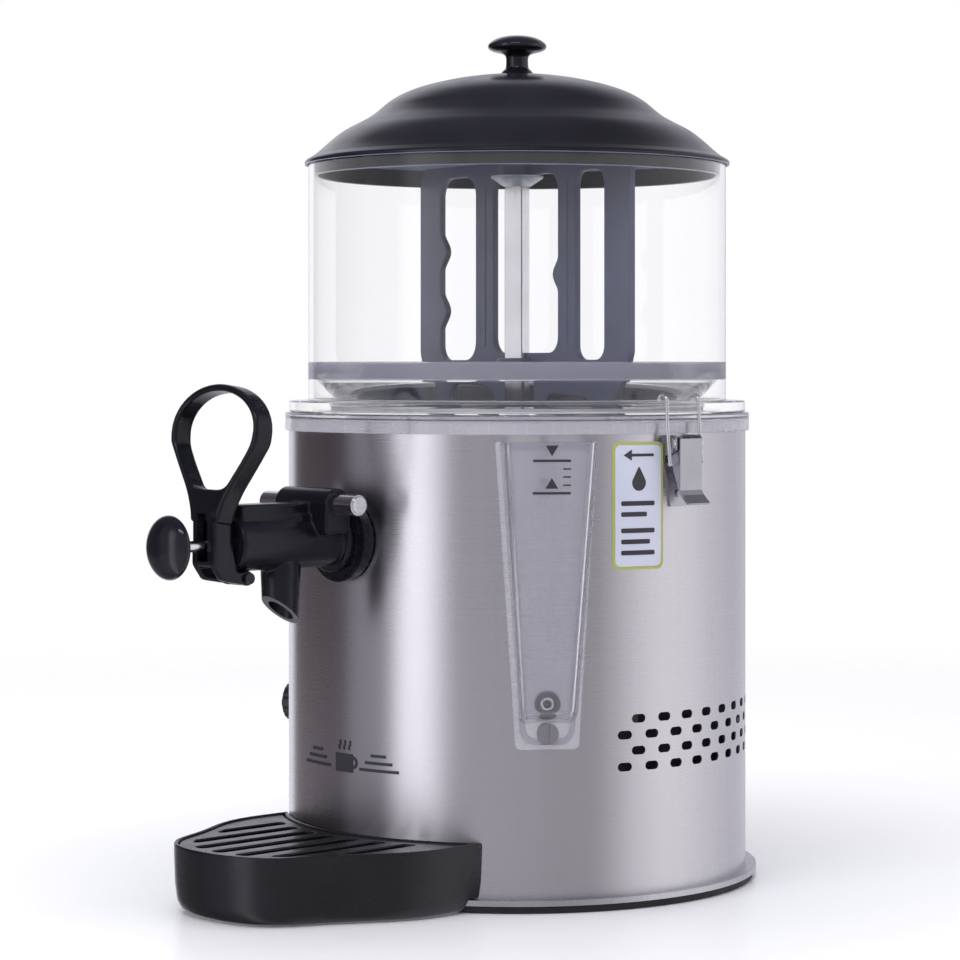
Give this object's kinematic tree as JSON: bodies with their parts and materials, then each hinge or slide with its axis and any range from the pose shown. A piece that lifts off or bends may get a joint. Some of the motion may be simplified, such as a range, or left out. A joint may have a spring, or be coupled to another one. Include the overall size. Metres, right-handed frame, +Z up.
{
  "type": "heated drink dispenser",
  "caption": "Countertop heated drink dispenser: round steel body with water jacket, clear bowl with stirrer, domed lid, lever tap and drip tray.",
  "frame": {"origin": "on the body axis, at the resting plane under the foot ring", "axes": "+Z up, the tap points to -Y, the water filling pocket is on the +X side"},
  "size_m": [0.2944, 0.3996, 0.477],
  "materials": {
    "soft_rubber": "matt",
    "casing_steel": "brushed around the body",
    "steel_sheet": "mill finish",
    "pot_steel": "polished",
    "steel_bright": "bright turned",
    "latch_steel": "pressed and tumbled",
    "heater_sheath": "annealed",
    "bakelite": "moulded",
    "motor_paint": "satin",
    "bush_plastic": "machined",
    "clear_plastic": "clear gloss",
    "frosted_plastic": "translucent",
    "silicone": "soft matt",
    "slate_plastic": "moulded satin",
    "black_gloss": "gloss",
    "black_satin": "satin",
    "ink": "printed",
    "label_border": "printed film",
    "label_white": "printed film",
    "rocker_red": "translucent gloss"
  },
  "bodies": {
    "base": {"foot_ring": "soft_rubber", "base_plate": "steel_sheet", "base_screws": "steel_bright", "casing": "casing_steel", "water_tank": "steel_sheet", "heating_element": "heater_sheath", "safety_thermostat": "bakelite", "inner_pot": "pot_steel", "outlet_tube": "pot_steel", "center_tube": "steel_bright", "gearmotor": "motor_paint", "motor_bracket": "steel_sheet", "shaft_bushes": "bush_plastic", "top_collar": "clear_plastic", "bowl_gasket": "silicone", "bowl": "clear_plastic", "water_gauge": "clear_plastic", "gauge_gasket": "soft_rubber", "gauge_screw": "steel_bright", "gauge_marks": "ink", "gauge_tube": "pot_steel", "label": "label_border", "label_print": "label_white", "emblem": "ink", "right_latch_base": "latch_steel", "right_latch_pin": "steel_bright", "left_latch_base": "latch_steel", "left_latch_pin": "steel_bright", "tap_gasket": "silicone", "tap_flange": "black_satin", "tap_body": "black_satin", "tap_spring": "steel_bright", "handle_pin": "black_satin", "thermostat_body": "bakelite", "switch_housing": "black_satin", "terminal_block": "bakelite", "cable_gland": "black_satin"},
    "lid": {"lid": "black_gloss", "lid_knob": "black_gloss", "lid_screw": "steel_bright"},
    "stirrer": {"drive_shaft": "steel_bright", "stirrer_hub": "frosted_plastic", "stirrer_paddle": "slate_plastic", "paddle_nut": "steel_bright"},
    "handle": {"tap_handle": "black_satin"},
    "piston": {"tap_piston": "bush_plastic", "piston_orings": "soft_rubber", "tap_rod": "steel_bright", "rod_pin": "black_satin", "tap_knob": "black_gloss"},
    "lock_pin": {"lock_pin": "steel_bright"},
    "right_lever": {"right_latch_lever": "latch_steel"},
    "right_bail": {"right_latch_bail": "steel_bright"},
    "left_lever": {"left_latch_lever": "latch_steel"},
    "left_bail": {"left_latch_bail": "steel_bright"},
    "dial": {"thermostat_knob": "black_satin"},
    "rocker": {"switch_rocker": "rocker_red"},
    "tray": {"drip_tray": "black_satin"},
    "grate": {"drip_grate": "black_satin"}
  },
  "joints": [
    {"name": "lid_lift", "type": "slide", "parent": "base", "child": "lid", "axis": [0, 0, 1], "range_m": [0, 0.15]},
    {"name": "stirrer_spin", "type": "hinge", "parent": "base", "child": "stirrer", "pos_m": [0, 0, 0.3], "axis": [0, 0, 1], "continuous": true},
    {"name": "handle_swing", "type": "hinge", "parent": "base", "child": "handle", "pos_m": [0, -0.204, 0.1776], "axis": [1, 0, 0], "range_deg": [0, 25], "stiffness_Nm_per_rad": 0.8, "springref_deg": -6.88},
    {"name": "piston_slide", "type": "slide", "parent": "base", "child": "piston", "axis": [0, -1, 0], "range_m": [-0.0002, 0.0102], "deforming": ["tap_spring"]},
    {"name": "lock_pin_pull", "type": "slide", "parent": "base", "child": "lock_pin", "axis": [1, 0, 0], "range_m": [0, 0.065]},
    {"name": "right_latch_open", "type": "hinge", "parent": "base", "child": "right_lever", "pos_m": [0.13637, -0.00595, 0.247], "axis": [-0.0436, -0.999, 0], "range_deg": [0, 95]},
    {"name": "right_bail_swing", "type": "hinge", "parent": "right_lever", "child": "right_bail", "pos_m": [0.13687, -0.00598, 0.236], "axis": [-0.0436, -0.999, 0], "range_deg": [-95, 0]},
    {"name": "left_latch_open", "type": "hinge", "parent": "base", "child": "left_lever", "pos_m": [-0.13637, -0.00595, 0.247], "axis": [-0.0436, 0.999, 0], "range_deg": [0, 95]},
    {"name": "left_bail_swing", "type": "hinge", "parent": "left_lever", "child": "left_bail", "pos_m": [-0.13687, -0.00598, 0.236], "axis": [-0.0436, 0.999, 0], "range_deg": [-95, 0]},
    {"name": "dial_turn", "type": "hinge", "parent": "base", "child": "dial", "pos_m": [-0.12607, -0.05613, 0.0915], "axis": [-0.9135, -0.4067, 0], "range_deg": [0, 270]},
    {"name": "rocker_tilt", "type": "hinge", "parent": "base", "child": "rocker", "pos_m": [-0.12715, -0.01787, 0.0915], "axis": [0.1392, -0.9903, 0], "range_deg": [0, 14]},
    {"name": "tray_pull", "type": "slide", "parent": "base", "child": "tray", "axis": [0, -1, 0], "range_m": [0, 0.12]},
    {"name": "grate_lift", "type": "slide", "parent": "tray", "child": "grate", "axis": [0, 0, 1], "range_m": [0, 0.08]}
  ],
  "couplings": [
    {"joint": "piston_slide", "follows": "handle_swing", "m_per_rad": 0.0223},
    {"joint": "right_bail_swing", "follows": "right_latch_open", "ratio": -1},
    {"joint": "left_bail_swing", "follows": "left_latch_open", "ratio": -1}
  ]
}
